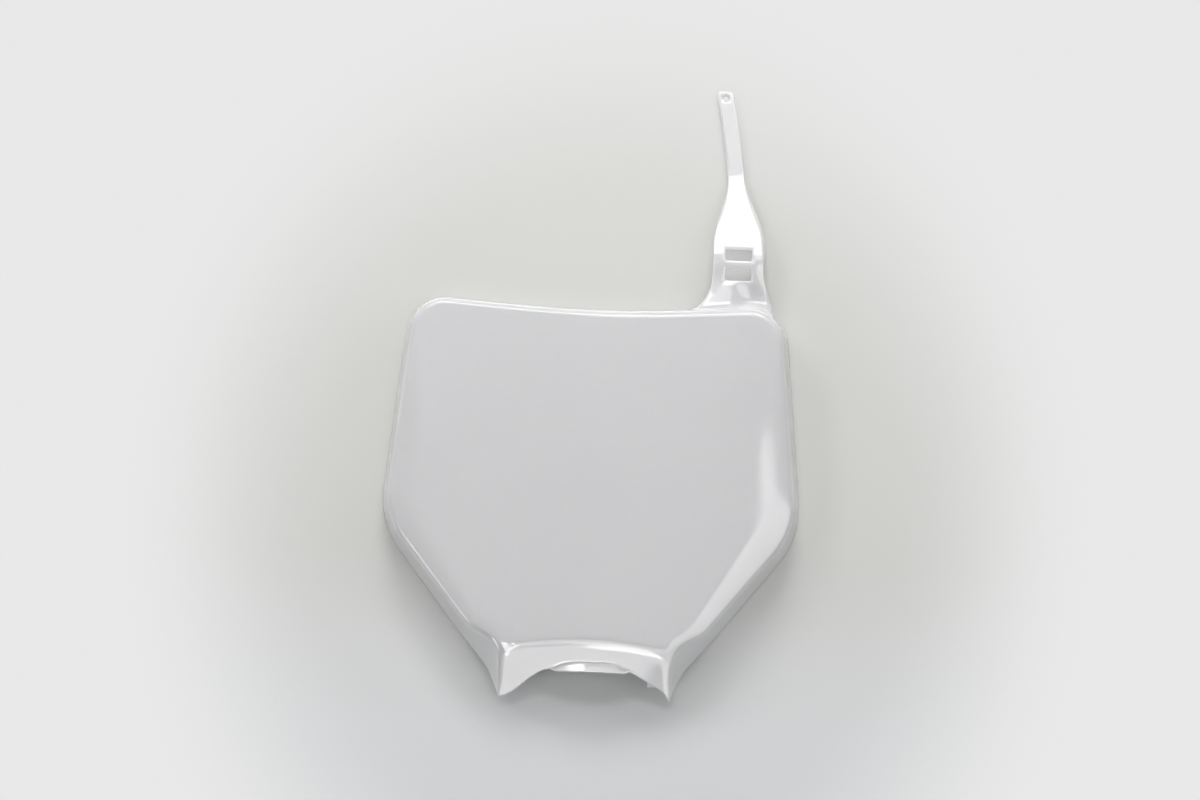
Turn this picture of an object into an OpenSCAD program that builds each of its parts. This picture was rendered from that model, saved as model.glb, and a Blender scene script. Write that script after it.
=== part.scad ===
// Front number board of an off-road motorbike, with its handlebar strap.
// One moulding: a shallow tray that lies on its back rim with its blank face up.
// +X is to the right in front of the face, +Y runs from the chin to the strap, +Z leaves the face.

/* [Board outline, at the rear rim] */
// Width across the top corners, where the lines of the edges cross
top_w = 222; // [206:1:236]
// Width across the shoulders, where the lines of the edges cross
shoulder_w = 246; // [240:1:262]
// Height of the top corners above the board's middle
top_y = 120.3; // [108:0.1:132]
// Depth of the shoulders below the board's middle
shoulder_y = 17; // [8:0.5:26]
// Width across the places where the lower sides turn down into the horns
horn_root_w = 114; // [106:1:124]
// Depth of those places below the board's middle
horn_root_y = 100; // [94:0.5:106]
// Angle in degrees by which the horns turn down there
horn_turn = 17; // [8:1:22]
// How far the middle of the top edge sags below the line of its corners
top_sag = 7.5; // [3:0.1:10]
// Radius of the top corners
corner_r = 24; // [18:1:32]
// Radius of the shoulders
shoulder_r = 52; // [36:1:64]

/* [Board section] */
// Height of the face above the rear rim, in the middle
depth = 24; // [21:0.5:30]
// Wall thickness of the moulding
wall = 2.2; // [1.8:0.1:2.8]
// Draft of the side wall in degrees
draft = 14; // [9:0.5:17]
// Draft of the side wall at the horns in degrees
horn_draft = 30; // [20:1:34]
// Fall of the face from its middle to its sides
crown_x = 4; // [1:0.25:6]
// Fall of the face from its middle to its top edge
crown_y = 1; // [0.5:0.25:3]
// Rounding between the face and the wall
edge_r = 2.6; // [1.8:0.1:3.6]
// Width of the soft bevel along the top edge
bevel_top = 5; // [4:0.5:8]
// Width of the soft bevel at the shoulders
bevel_mid = 18; // [12:0.5:22]
// Width of the soft bevel at the horns
bevel_low = 8; // [6:0.5:11]
// Drop of the soft bevel where it is widest
bevel_drop = 3; // [1:0.1:4]

/* [Chin] */
// Depth of the fold between face and chin below the board's middle
fold_y = 86; // [82:0.5:90]
// How far the ends of the fold lie below its middle
fold_bow = 5; // [3:0.5:7]
// Slope of the chin in degrees
chin_slope = 34; // [29:0.5:37]
// Height of the horn tips above the rear rim
horn_lift = 6; // [4:0.5:8]
// Depth of the arch's middle below the board's middle
arch_y = 102; // [99:0.5:104]
// Half of the arch's straight middle
arch_flat = 23; // [19:0.5:26]
// How much wider the right flank of the arch is cut than the left one, 0 for an even arch
arch_lean = 1; // [0:0.1:1]
// Width in the middle of the lip that stiffens the arch
lip_w = 5.7; // [4:0.1:6.5]
// Rise of the lip in degrees
lip_rise = 16; // [6:1:22]
// Diameter of the two pegs behind the chin
peg_d = 6; // [4:0.5:8]
// Distance between the two pegs
peg_span = 79; // [76:0.5:82]
// Height of the free ends of the pegs above the rear rim
peg_end = 1; // [0.5:0.25:1.5]
// Length of a peg, from its free end to the level pad that it stands on
peg_l = 6.2; // [5:0.1:6.4]

/* [Strap] */
// Distance from the board's middle line to the middle of the strap
strap_x = 81.7; // [76:0.1:84]
// Height of the strap's tip above the board's middle
strap_tip = 252; // [240:1:270]
// Thickness of the strap
strap_t = 2.2; // [1.6:0.1:2.8]
// Width of the strap where it is widest
strap_w = 30; // [26:0.5:34]
// Width of the narrow tail
tail_w = 10; // [8:0.5:12]
// Height above the board's middle where the tail begins
tail_y = 199; // [190:1:210]
// Length of the shoulders between tail and wide part
taper = 44; // [30:1:54]
// Radius of the strap's sideways bend
bend_r = 480; // [360:10:700]
// Slope of the strap's rise from the board in degrees
rise = 18; // [15:0.5:20]
// Slope of the strap's fall to its tail in degrees
fall = 8.5; // [7:0.25:10]
// Height above the board's middle of the lower slot
slot_y = 137.1; // [134:0.1:142]
// Distance between the two slots
slot_pitch = 11.5; // [10.5:0.1:13]
// Length of a slot
slot_l = 15.5; // [12:0.5:18]
// Width of a slot
slot_w = 7; // [5:0.1:7.6]
// Corner radius of a slot
slot_r = 1.5; // [0.5:0.1:2.2]
// Diameter of the hole at the tip
hole_d = 4; // [3:0.1:5]
// Distance of that hole from the tip
hole_in = 4.5; // [4:0.1:7]

/* [Hidden] */

// Numbers of facets round the board and across its section
bend_steps = 8;
line_steps = 6;
tail_steps = 12;
chin_steps = 36;
bevel_steps = 4;
edge_steps = 3;
wall_steps = 4;

// Softness of the fold between face and chin
fold_soft = 1;
// Radius of the sag in the top edge and of the turn into the horns
sag_r = 700;
horn_r = 40;
// Length of the horn's straight end, past its tip
horn_run = 26;
// Height above the middle where the bevel is widest, where it starts and where it ends
bevel_peak = 15;
bevel_start = 105;
bevel_end = -95;
// Height above the middle where the rim starts to rise to the horns
lift_start = -74;
lift_end = -116;
// Heights above the middle where the wall starts to lean to the horns' draft and where it has it
draft_start = -79;
draft_end = -95;
// How far the straight middle of the arch stands out past its ends
tab = 1.3;
// How far the ends of the straight middle move when the arch leans
lean_shift = 3;
// A wide flank runs straight over this share of its drop and then turns down steeply
wide_share = 0.75;
wide_power = 12;
// Length over which the tab dies out, and how full the ends of the crescent lip are
tab_run = 3;
lip_power = 3.5;
// How sharply the inner skin's cut turns to the horn's inner tip
tip_power = 8;
// Half of the fold's length
fold_half = 46;
// Place of the pegs below the board's middle, margin of their pads and reach of the pads up the chin
peg_y = -105;
pad_margin = 0.5;
pad_reach = 10;
// How fast the bevel narrows towards the horns
bevel_power = 2;
// How far the inner skin's bevel starts nearer to the wall, as a share of the edge's rounding
inner_pull = 0.4;
// Halvings in the search for the place where a ring meets the chin
halvings = 24;
// Bands of the face beside the bevel, then shares of the way to the middle of the face
face_bands = [1.5, 3.5, 7];
face_shares = [0.8, 0.55, 0.28];

// The strap's root: share of the top edge before its flare and of the corner that it takes in
top_run_share = 0.11;
corner_share = 0.5;
// Height above the board's middle where the flare ends, and height of its underside at the wall
root_y = 137;
root_z = 1.6;
root_sink = 0.8;
// A web joins the strap to the wall. How far it climbs the wall at its left end and at the corner, the shares
// of its length over which it sinks and rises again, its softness and how late it runs into the strap
web_left = 5.2;
web_right = 1.5;
web_sink = [0.4, 0.72];
web_rise = [0.72, 1];
web_soft = 0.5;
web_power = 4;
// Pull of the flare's two sides towards the wall, and reach of their curves along the board
flare_pull = [0.09, 0.2];
flare_reach = [3, 6];
// Height of the strap's level tail and softness of the bends at the top of its rise and at its tail
tail_z = 0.8;
hump_soft = 1.1;
tail_soft = 0.15;
bend_y = 150;
tip_r = 2.4;
// Rows and columns of the strap's facets
strap_cols = 8;
root_rows = 9;
slot_steps = 4;
run_rows = 5;
taper_rows = 12;
tip_rows = 4;
STRAP_YS = concat(
    [for (j = [0 : run_rows - 1]) mix(root_y, tail_y - taper, j / run_rows)],
    [for (j = [0 : taper_rows]) tail_y - taper + taper * j / taper_rows],
    [for (j = [1 : run_rows - 1]) mix(tail_y, strap_tip - tip_r, j / run_rows)],
    [for (j = [0 : tip_rows]) strap_tip - tip_r * (1 - sin(90 * j / tip_rows))]);

// The rows of the section run up the wall, round the edge, over the bevel and onto the face.
// The outer skin shows all of them, the inner skin fewer.
last_edge = wall_steps + edge_steps;
last_bevel = last_edge + bevel_steps;
last_face = last_bevel + len(face_bands);
OUTER_ROWS = [for (k = [0 : last_face]) k];
INNER_ROWS = concat([for (k = [0 : 2 : wall_steps]) k], [for (k = [wall_steps + 1 : 2 : last_face]) k]);

// The skin's thickness measured level, across the drafted wall, and upright, through the chin
wall_skew = wall / cos(draft);
chin_skew = wall / cos(chin_slope);
half_w = shoulder_w / 2;

function mix(a, b, t) = a + (b - a) * t;
function clamp(t) = min(1, max(0, t));
function ease(t) = let (c = clamp(t)) c * c * (3 - 2 * c);
function soft_min(a, b, e) = (a + b) / 2 - sqrt((a - b) * (a - b) / 4 + e * e);

// The right half of the rim, from the middle of the top edge clockwise, as straights and bends.
// A piece is [start point, heading, length, turn to the right in degrees].
corner = [top_w / 2, top_y];
shoulder = [half_w, -shoulder_y];
horn_root = [horn_root_w / 2, -horn_root_y];
sag = [0, top_y - top_sag];

function heading(a, b) = atan2(b[1] - a[1], b[0] - a[0]);
function step(p, h, l) = [p[0] + l * cos(h), p[1] + l * sin(h)];
function tangent(r, turn) = r * tan(abs(turn) / 2);
function arc_len(r, turn) = r * abs(turn) * PI / 180;

h_top = heading(sag, corner);
h_side = heading(corner, shoulder);
h_low = heading(shoulder, horn_root);
h_horn = h_low + horn_turn;

sag_in = tangent(sag_r, 2 * h_top);
corner_in = tangent(corner_r, h_top - h_side);
shoulder_in = tangent(shoulder_r, h_side - h_low);
root_in = tangent(horn_r, horn_turn);

top_mid = [0, sag[1] + sag_r * (1 / cos(h_top) - 1)];
top_run = norm(corner - sag) - sag_in - corner_in;
side_run = norm(shoulder - corner) - corner_in - shoulder_in;
low_run = norm(horn_root - shoulder) - shoulder_in - root_in;

PIECES = [
    [top_mid, 0, arc_len(sag_r, h_top), -h_top],
    [step(sag, h_top, sag_in), h_top, top_run, 0],
    [step(corner, h_top, -corner_in), h_top, arc_len(corner_r, h_top - h_side), h_top - h_side],
    [step(corner, h_side, corner_in), h_side, side_run, 0],
    [step(shoulder, h_side, -shoulder_in), h_side, arc_len(shoulder_r, h_side - h_low), h_side - h_low],
    [step(shoulder, h_low, shoulder_in), h_low, low_run, 0],
    [step(horn_root, h_low, -root_in), h_low, arc_len(horn_r, horn_turn), -horn_turn],
    [step(horn_root, h_horn, root_in), h_horn, horn_run, 0]
];
PIECE_STEPS = [2, line_steps, bend_steps, line_steps, bend_steps];
tail_len = low_run + PIECES[6][2] + horn_run;

// A point of a piece and its outward direction, [x, y, nx, ny]
function on_piece(p, s) =
    p[3] == 0 ? let (q = step(p[0], p[1], s)) [q[0], q[1], -sin(p[1]), cos(p[1])]
    : let (turned = p[3] * s / p[2], chord = p[2] / (p[3] * PI / 180))
      let (h = p[1] - turned)
      [p[0][0] + chord * (sin(p[1]) - sin(h)),
       p[0][1] + chord * (cos(h) - cos(p[1])),
       -sin(h), cos(h)];

// A point of the run from the shoulder to the horn, by its distance from the shoulder's bend
function on_tail(s) =
    s < low_run ? on_piece(PIECES[5], s)
    : s < low_run + PIECES[6][2] ? on_piece(PIECES[6], s - low_run)
    : on_piece(PIECES[7], s - low_run - PIECES[6][2]);

HEAD = [for (i = [0 : len(PIECE_STEPS) - 1]) for (j = [0 : PIECE_STEPS[i] - 1])
    on_piece(PIECES[i], PIECES[i][2] * j / PIECE_STEPS[i])];

// Heights of the outer surfaces
function face_z(x, y) = depth - crown_x * pow(x / half_w, 2) - crown_y * pow(y / top_y, 2);
function fold(x) = -fold_y - fold_bow * pow(x / fold_half, 2);
function chin_z(x, y) = face_z(x, fold(x)) + (y - fold(x)) * tan(chin_slope);
function rim_z(y) = horn_lift * ease((lift_start - y) / (lift_start - lift_end));
function draft_at(y) = mix(draft, horn_draft, ease((draft_start - y) / (draft_start - draft_end)));
function bevel_w(y) =
    y > bevel_peak ? mix(bevel_mid, bevel_top, ease((y - bevel_peak) / (bevel_start - bevel_peak)))
    : mix(bevel_mid, bevel_low, pow(clamp((bevel_peak - y) / (bevel_peak - bevel_end)), bevel_power));
function bevel_z(y, s) = let (w = bevel_w(y)) bevel_drop * w / bevel_mid * pow(1 - clamp(s / w), 2);

// Points of the section: b is a point of the rim with its direction outwards, in and s are distances
// inwards, z is a height and t is how deep the skin lies below the outer surface
function inward(b, in) = [b[0] - b[2] * in, b[1] - b[3] * in];
function wall_in(b, z) = rim_z(b[1]) * tan(draft) + (z - rim_z(b[1])) * tan(draft_at(b[1]));
function edge_z(b) = face_z(b[0], b[1]) - bevel_z(b[1], 0);
function on_bevel(b, s, t) =
    let (q = inward(b, wall_in(b, edge_z(b)) + s))
    [q[0], q[1], face_z(q[0], q[1]) - bevel_z(b[1], s) - t];
function on_wall(b, z, t) = let (q = inward(b, wall_in(b, z) + (t > 0 ? wall_skew : 0))) [q[0], q[1], z];
function bevel_from(t) = edge_r + (t > 0 ? wall_skew - inner_pull * edge_r : 0);
function on_edge(b, u, t) =
    let (top = edge_z(b) - t)
    let (p0 = on_wall(b, top - edge_r, t), p1 = on_wall(b, top, t), p2 = on_bevel(b, bevel_from(t), t))
    p0 * (1 - u) * (1 - u) + p1 * 2 * u * (1 - u) + p2 * u * u;
function section(b, k, t) =
    k <= wall_steps ? on_wall(b, mix(rim_z(b[1]), edge_z(b) - t - edge_r, k / wall_steps), t)
    : k <= last_edge ? on_edge(b, (k - wall_steps) / edge_steps, t)
    : k <= last_bevel
        ? on_bevel(b, bevel_from(t) + bevel_share * bevel_w(b[1]) * (k - last_edge) / bevel_steps, t)
    : on_bevel(b, bevel_from(t) + bevel_share * bevel_w(b[1]) + face_bands[k - last_bevel - 1], t);
bevel_share = 1 - edge_r / bevel_mid;

// Positive while a section point is still on the side of the board and not on the chin
function before_chin(p, k, t) =
    k <= last_bevel ? chin_z(p[0], p[1]) - (t > 0 ? chin_skew : 0) - p[2]
    : p[1] - fold(p[0]) - face_bands[k - last_bevel - 1];
function meet_chin(k, t, a, b, n) =
    n == 0 ? (a + b) / 2
    : let (m = (a + b) / 2)
      before_chin(section(on_tail(m), k, t), k, t) > 0 ? meet_chin(k, t, m, b, n - 1)
      : meet_chin(k, t, a, m, n - 1);

// The arch between the horns, for horn tips at tip: an even flank is halfway between a narrow one,
// which is an S, and a wide one
function flat_end(x) = arch_flat + lean_shift * arch_lean * sign(x);
function flank(u, wide) = mix(ease(u), wide_share * u + (1 - wide_share) * pow(u, wide_power), wide);
function arch(x, tip) =
    let (u = clamp((abs(x) - flat_end(x)) / (tip[0] - flat_end(x))))
    let (edge = mix(tab - arch_y, tip[1], flank(u, (1 + sign(x) * arch_lean) / 2)))
    edge - tab * ease((flat_end(x) - abs(x)) / tab_run);

// The lip is a crescent, widest in the middle of the arch and run out at the ends of its straight
function lip_z(x, y, tip) =
    let (u = abs(x - lean_shift * arch_lean) / (arch_flat + 1))
    let (width = lip_w * (1 - pow(min(1, u), lip_power)))
    max(0, width - (y - arch(x, tip))) * (tan(chin_slope) + tan(lip_rise));

function chin_point(s, k, t, end, tip) =
    let (x = s * end[0])
    k > last_bevel
        ? let (y = fold(x) + face_bands[k - last_bevel - 1])
          [x, y, soft_min(face_z(x, y) - t, chin_z(x, y) - (t > 0 ? chin_skew : 0), fold_soft)]
    : let (cut = arch(x, tip) + (t > 0 ? (tip_in[1] - arch(tip_in[0], tip)) * pow(s, tip_power) : 0))
      let (base = t > 0 ? tip_in : tip)
      let (share = (fold(end[0]) - end[1]) / (fold(end[0]) - base[1]))
      let (y = mix(fold(x), cut, share))
      [x, y, soft_min(face_z(x, y) - t, chin_z(x, y) - (t > 0 ? chin_skew : 0), fold_soft)
             + lip_z(x, y, tip)];

tip = section(on_tail(meet_chin(0, 0, 0, tail_len, halvings)), 0, 0);
tip_in = section(on_tail(meet_chin(0, wall, 0, tail_len, halvings)), 0, wall);

function soften(p, k, t) =
    k <= wall_steps ? p
    : [p[0], p[1], soft_min(p[2], chin_z(p[0], p[1]) - (t > 0 ? chin_skew : 0), fold_soft)];

function ring(k, t) =
    let (stop = meet_chin(k, t, 0, tail_len, halvings))
    let (side = concat(
        [for (b = HEAD) soften(section(b, k, t), k, t)],
        [for (i = [0 : tail_steps]) soften(section(on_tail(stop * i / tail_steps), k, t), k, t)]))
    let (end = section(on_tail(stop), k, t))
    concat(
        side,
        [for (j = [1 : chin_steps - 1]) chin_point(1 - 2 * j / chin_steps, k, t, end, tip)],
        [for (i = [len(side) - 1 : -1 : 1]) [-side[i][0], side[i][1], side[i][2]]]);

function shrink(r, f, t) = [for (p = r) [p[0] * f, p[1] * f, face_z(p[0] * f, p[1] * f) - t]];

function skin(rows, t) =
    let (rings = [for (k = rows) ring(k, t)])
    concat(rings, [for (f = face_shares) shrink(rings[len(rows) - 1], f, t)]);

function flat_list(r) = [for (a = r) for (p = a) p];

// Rings of points joined into a closed tray: the outer skin, the inner skin and the rim between them
module tray() {
    outer = skin(OUTER_ROWS, 0);
    inner = skin(INNER_ROWS, wall);
    n = len(outer[0]);
    a = len(outer);
    b = len(inner);
    mid = [0, 0, face_z(0, 0)];
    points = concat(flat_list(outer), [mid], flat_list(inner), [mid - [0, 0, wall]]);
    base = a * n + 1;
    function next(j) = (j + 1) % n;
    faces = concat(
        [for (i = [0 : a - 2]) for (j = [0 : n - 1])
            [i * n + j, i * n + next(j), (i + 1) * n + next(j), (i + 1) * n + j]],
        [for (j = [0 : n - 1]) [(a - 1) * n + j, (a - 1) * n + next(j), a * n]],
        [for (i = [0 : b - 2]) for (j = [0 : n - 1])
            let (low = base + i * n, high = base + (i + 1) * n)
            [low + j, high + j, high + next(j), low + next(j)]],
        [for (j = [0 : n - 1]) [base + (b - 1) * n + j, base + b * n, base + (b - 1) * n + next(j)]],
        [for (j = [0 : n - 1]) [j, base + j, base + next(j), next(j)]]);
    polyhedron(points, faces, convexity = 8);
}

// The strap: a bottle-shaped tongue that leaves the rim with a flare and lies over a hump.
// Its lower surface follows the lines of a rise, a fall and the level tail.
function soft_max(a, b, e) = -soft_min(-a, -b, e);
function under_z(y) =
    let (up = root_z + (y - top_y) * tan(rise))
    let (down = tail_z + (tail_y - y) * tan(fall))
    soft_max(soft_min(up, down, hump_soft), tail_z, tail_soft);
function middle_x(y) = strap_x - pow(max(0, y - bend_y), 2) / (2 * bend_r);
function tip_cut(y) = let (d = max(0, tip_r - (strap_tip - y))) tip_r - sqrt(tip_r * tip_r - d * d);
function half_strap(y) = mix(tail_w, strap_w, ease((tail_y - y) / taper)) / 2 - tip_cut(y);

// The strap's root on the wall: a share q of the way along the rim from the flare to the corner
root_start = top_run_share * top_run;
root_length = top_run - root_start + corner_share * PIECES[2][2];
function on_root(q) =
    let (s = root_start + q * root_length)
    s < top_run ? on_piece(PIECES[1], s) : on_piece(PIECES[2], s - top_run);

function share_of(q, span) = ease((q - span[0]) / (span[1] - span[0]));
function web_lift(q) = web_left * (1 - share_of(q, web_sink)) + web_right * share_of(q, web_rise);

function root_point(q, u, lower) =
    let (b = on_root(q))
    let (z = root_z + (lower ? -root_sink : strap_t + web_lift(q)))
    let (w = inward(b, z * tan(draft) + wall / 2))
    let (e = [middle_x(root_y) + half_strap(root_y) * (2 * q - 1), root_y])
    let (pull = mix(flare_pull[0], flare_pull[1], q))
    let (c = [mix(e[0], w[0], pull), mix(w[1] + flare_reach[0], root_y - flare_reach[1], q)])
    let (p = w * (1 - u) * (1 - u) + c * 2 * u * (1 - u) + e * u * u)
    let (rest = under_z(p[1]) + (lower ? 0 : strap_t))
    [p[0], p[1], mix(soft_max(rest, z, web_soft), rest, pow(u, web_power))];

function across(y, lower) = [for (i = [0 : strap_cols])
    [middle_x(y) + half_strap(y) * (2 * i / strap_cols - 1), y, under_z(y) + (lower ? 0 : strap_t)]];

function strap_rows(lower) = concat(
    [for (j = [0 : root_rows - 1]) [for (i = [0 : strap_cols])
        root_point(i / strap_cols, j / root_rows, lower)]],
    [for (y = STRAP_YS) across(y, lower)]);

module strap_blank() {
    top = strap_rows(false);
    low = strap_rows(true);
    m = len(top);
    n = strap_cols + 1;
    points = concat(flat_list(top), flat_list(low));
    base = m * n;
    faces = concat(
        [for (j = [0 : m - 2]) for (i = [0 : n - 2])
            [j * n + i, (j + 1) * n + i, (j + 1) * n + i + 1, j * n + i + 1]],
        [for (j = [0 : m - 2]) for (i = [0 : n - 2])
            [base + j * n + i, base + j * n + i + 1, base + (j + 1) * n + i + 1, base + (j + 1) * n + i]],
        [for (j = [0 : m - 2]) [j * n, base + j * n, base + (j + 1) * n, (j + 1) * n]],
        [for (j = [0 : m - 2])
            [j * n + n - 1, (j + 1) * n + n - 1, base + (j + 1) * n + n - 1, base + j * n + n - 1]],
        [for (i = [0 : n - 2]) [i, i + 1, base + i + 1, base + i]],
        [for (i = [0 : n - 2]) let (r = (m - 1) * n + i) [r + 1, r, base + r, base + r + 1]]);
    polyhedron(points, faces, convexity = 4);
}

function slot_outline() = [for (c = [0 : 3]) for (j = [0 : slot_steps])
    let (a = 90 * (c + j / slot_steps))
    [(slot_l / 2 - slot_r) * (c == 0 || c == 3 ? 1 : -1) + slot_r * cos(a),
     (slot_w / 2 - slot_r) * (c < 2 ? 1 : -1) + slot_r * sin(a)]];

module strap() {
    difference() {
        strap_blank();
        for (i = [0 : 1])
            translate([middle_x(slot_y), slot_y + i * slot_pitch, 0])
                linear_extrude(height = depth)
                    polygon(slot_outline());
        translate([middle_x(strap_tip - hole_in), strap_tip - hole_in, -depth])
            cylinder(d = hole_d, h = 2 * depth, $fn = 32);
    }
}

// The two pegs stand on wedges whose tops lie in the middle of the chin's skin
function in_chin(y) = [y, chin_z(peg_span / 2, y) - chin_skew / 2];

module pegs() {
    pad_w = peg_d + 2 * pad_margin;
    pad_z = peg_end + peg_l;
    low_y = peg_y - pad_w / 2;
    high_y = low_y + pad_reach;
    for (side = [-1, 1])
        translate([side * peg_span / 2, 0, 0]) {
            translate([0, peg_y, peg_end])
                cylinder(d = peg_d, h = peg_l, $fn = 32);
            translate([-pad_w / 2, 0, 0])
                rotate([90, 0, 90])
                    linear_extrude(height = pad_w)
                        polygon([[low_y, pad_z], [high_y, pad_z], in_chin(high_y), in_chin(low_y)]);
        }
}

// The origin lies on the surface below the middle of the whole moulding
module number_board() {
    color("white") translate([0, -(strap_tip + tip[1]) / 2, 0]) {
        tray();
        strap();
        pegs();
    }
}

number_board();
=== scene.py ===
# %% [markdown]
# A racing number board, modelled over its CAD part
# The board is one moulding: a shallow tray with a blank glossy face, a turned-back wall, a chin that folds
# down between two horns, and a strap that grows out of the top edge. The script loads the CAD part as the
# frame, draws a finer skin over it in the same place, gives it a plastic and puts it in a soft studio.

# %%
import math

import bmesh
import bpy
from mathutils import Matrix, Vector


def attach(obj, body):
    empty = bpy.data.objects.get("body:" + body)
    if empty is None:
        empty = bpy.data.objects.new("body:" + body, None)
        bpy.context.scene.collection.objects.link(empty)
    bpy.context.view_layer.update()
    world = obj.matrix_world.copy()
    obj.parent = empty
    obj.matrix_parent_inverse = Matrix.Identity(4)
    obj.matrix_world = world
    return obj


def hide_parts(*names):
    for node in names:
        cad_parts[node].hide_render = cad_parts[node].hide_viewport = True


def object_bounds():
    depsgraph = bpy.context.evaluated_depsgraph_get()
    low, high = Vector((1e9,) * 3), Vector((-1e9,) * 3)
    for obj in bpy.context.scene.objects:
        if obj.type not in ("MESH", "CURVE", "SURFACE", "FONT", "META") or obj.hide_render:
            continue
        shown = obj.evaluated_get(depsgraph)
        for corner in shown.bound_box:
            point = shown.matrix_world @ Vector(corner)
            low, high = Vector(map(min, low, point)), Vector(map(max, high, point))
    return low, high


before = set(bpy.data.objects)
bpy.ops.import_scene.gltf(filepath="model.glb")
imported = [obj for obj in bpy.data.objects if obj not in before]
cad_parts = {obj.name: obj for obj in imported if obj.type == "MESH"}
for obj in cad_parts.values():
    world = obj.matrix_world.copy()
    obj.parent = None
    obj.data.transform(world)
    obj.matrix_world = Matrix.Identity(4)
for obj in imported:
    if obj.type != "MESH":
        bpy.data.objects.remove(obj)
LOW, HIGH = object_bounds()

# %% [markdown]
# Sizes of the board
# All sizes are in millimetres, in the board's own frame: x to the right, y from the chin to the strap, and
# z out of the face. They are the sizes of the CAD part, so that the skin lies exactly on it. The rear rim is
# drawn as straights joined by bends, which is how the edge of a moulded plate is laid out.

# %%
TOP_W, SHOULDER_W, TOP_Y, SHOULDER_Y = 222, 246, 120.3, 17
ROOT_W, ROOT_Y, HORN_TURN, TOP_SAG = 114, 100, 17, 7.5
CORNER_R, SHOULDER_R, SAG_R, HORN_R, HORN_RUN = 24, 52, 700, 40, 26
DEPTH, WALL, DRAFT, HORN_DRAFT = 24, 2.2, 14, 30
CROWN_X, CROWN_Y, EDGE_R = 4, 1, 2.6
BEVEL_TOP, BEVEL_MID, BEVEL_LOW, BEVEL_DROP = 5, 18, 8, 3
BEVEL_PEAK, BEVEL_START, BEVEL_END, BEVEL_POWER = 15, 105, -95, 2
FOLD_Y, FOLD_BOW, FOLD_HALF, FOLD_SOFT, CHIN_SLOPE = 86, 5, 46, 1, 34
LIFT_START, LIFT_END, LEAN_START, LEAN_END, HORN_LIFT = -74, -116, -79, -95, 6
ARCH_Y, ARCH_FLAT, ARCH_LEAN, LEAN_SHIFT, TAB, TAB_RUN = 102, 23, 1, 3, 1.3, 3
WIDE_SHARE, WIDE_POWER, LIP_W, LIP_RISE, LIP_TWIST, LIP_POWER = 0.75, 12, 5.7, (13, 23), (-16, 10), 3.5
PEG_D, PEG_SPAN, PEG_Y, PEG_END, PEG_L = 6, 79, -105, 1, 6.2
INNER_PULL, TIP_POWER, END_POWER, ROW_EASE = 0.4, 8, 6, 0.35
STRAP_TIP = 252
HALF_W = SHOULDER_W / 2
WALL_SKEW = WALL / math.cos(math.radians(DRAFT))
CHIN_SKEW = WALL / math.cos(math.radians(CHIN_SLOPE))
BEVEL_SHARE = 1 - EDGE_R / BEVEL_MID


def mix(a, b, t):
    return a + (b - a) * t


def clamp(t):
    return min(1.0, max(0.0, t))


def ease(t):
    return clamp(t) ** 2 * (3 - 2 * clamp(t))


def soft_min(a, b, e):
    return (a + b) / 2 - math.sqrt((a - b) ** 2 / 4 + e * e)


def tan(degrees):
    return math.tan(math.radians(degrees))


def step(p, heading, length):
    h = math.radians(heading)
    return (p[0] + length * math.cos(h), p[1] + length * math.sin(h))


def heading(a, b):
    return math.degrees(math.atan2(b[1] - a[1], b[0] - a[0]))


def arc(radius, turn):
    return radius * math.radians(abs(turn))


CORNER, SHOULDER = (TOP_W / 2, TOP_Y), (HALF_W, -SHOULDER_Y)
HORN_ROOT, SAG = (ROOT_W / 2, -ROOT_Y), (0, TOP_Y - TOP_SAG)
H_TOP, H_SIDE, H_LOW = heading(SAG, CORNER), heading(CORNER, SHOULDER), heading(SHOULDER, HORN_ROOT)
H_HORN = H_LOW + HORN_TURN
SAG_IN, CORNER_IN = SAG_R * tan(H_TOP), CORNER_R * tan((H_TOP - H_SIDE) / 2)
SHOULDER_IN, ROOT_IN = SHOULDER_R * tan((H_SIDE - H_LOW) / 2), HORN_R * tan(HORN_TURN / 2)
TOP_MID = (0, SAG[1] + SAG_R * (1 / math.cos(math.radians(H_TOP)) - 1))
TOP_RUN = math.dist(CORNER, SAG) - SAG_IN - CORNER_IN
SIDE_RUN = math.dist(SHOULDER, CORNER) - CORNER_IN - SHOULDER_IN
LOW_RUN = math.dist(HORN_ROOT, SHOULDER) - SHOULDER_IN - ROOT_IN
# Each piece of the right half of the rim is (start, heading, length, turn to the right)
PIECES = [
    (TOP_MID, 0, arc(SAG_R, H_TOP), -H_TOP),
    (step(SAG, H_TOP, SAG_IN), H_TOP, TOP_RUN, 0),
    (step(CORNER, H_TOP, -CORNER_IN), H_TOP, arc(CORNER_R, H_TOP - H_SIDE), H_TOP - H_SIDE),
    (step(CORNER, H_SIDE, CORNER_IN), H_SIDE, SIDE_RUN, 0),
    (step(SHOULDER, H_SIDE, -SHOULDER_IN), H_SIDE, arc(SHOULDER_R, H_SIDE - H_LOW), H_SIDE - H_LOW),
    (step(SHOULDER, H_LOW, SHOULDER_IN), H_LOW, LOW_RUN, 0),
    (step(HORN_ROOT, H_LOW, -ROOT_IN), H_LOW, arc(HORN_R, HORN_TURN), -HORN_TURN),
    (step(HORN_ROOT, H_HORN, ROOT_IN), H_HORN, HORN_RUN, 0),
]
TAIL_LEN = LOW_RUN + PIECES[6][2] + HORN_RUN


def on_piece(piece, s):
    """A point of the rim and its direction outwards: (x, y, nx, ny)."""
    start, h, length, turn = piece
    if not turn:
        x, y = step(start, h, s)
        return (x, y, -math.sin(math.radians(h)), math.cos(math.radians(h)))
    chord = length / math.radians(turn)
    a, b = math.radians(h), math.radians(h - turn * s / length)
    return (start[0] + chord * (math.sin(a) - math.sin(b)), start[1] + chord * (math.cos(b) - math.cos(a)),
            -math.sin(b), math.cos(b))


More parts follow.
